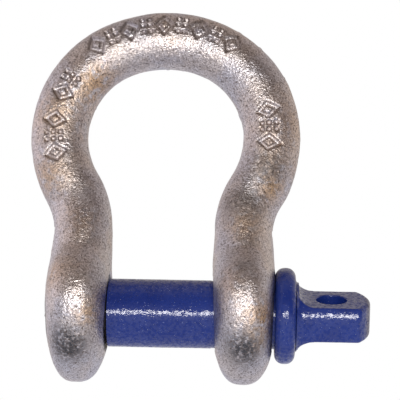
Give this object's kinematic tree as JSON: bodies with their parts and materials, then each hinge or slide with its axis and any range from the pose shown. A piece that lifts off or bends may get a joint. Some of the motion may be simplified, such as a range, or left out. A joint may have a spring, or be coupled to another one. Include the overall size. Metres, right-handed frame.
{
  "type": "bow shackle",
  "caption": "Galvanised forged bow shackle with a screw pin that unscrews from one ear and slides out to open the gap.",
  "frame": {"origin": "on the pin axis, midway between the two ears", "axes": "+X along the pin towards its head, +Z from the pin to the crown of the bow, Y square to the bow"},
  "size_m": [0.0572, 0.023, 0.0631],
  "materials": {
    "galvanised_steel": "hot-dip galvanised, dull grey with fine dark specks",
    "blue_paint": "gloss blue paint on the forging"
  },
  "bodies": {
    "bow": {"bow": "galvanised_steel"},
    "pin_slide": {"pin_collar": "blue_paint"},
    "pin": {"screw_pin": "blue_paint"}
  },
  "joints": [
    {"name": "pin_travel", "type": "slide", "parent": "bow", "child": "pin_slide", "axis": [1, 0, 0], "range_m": [0, 0.0435]},
    {"name": "pin_turn", "type": "hinge", "parent": "pin_slide", "child": "pin", "pos_m": [0, 0, 0], "axis": [1, 0, 0], "range_deg": [0, 8640]}
  ],
  "couplings": [
    {"joint": "pin_turn", "follows": "pin_travel", "rad_per_m": 3463.2}
  ]
}
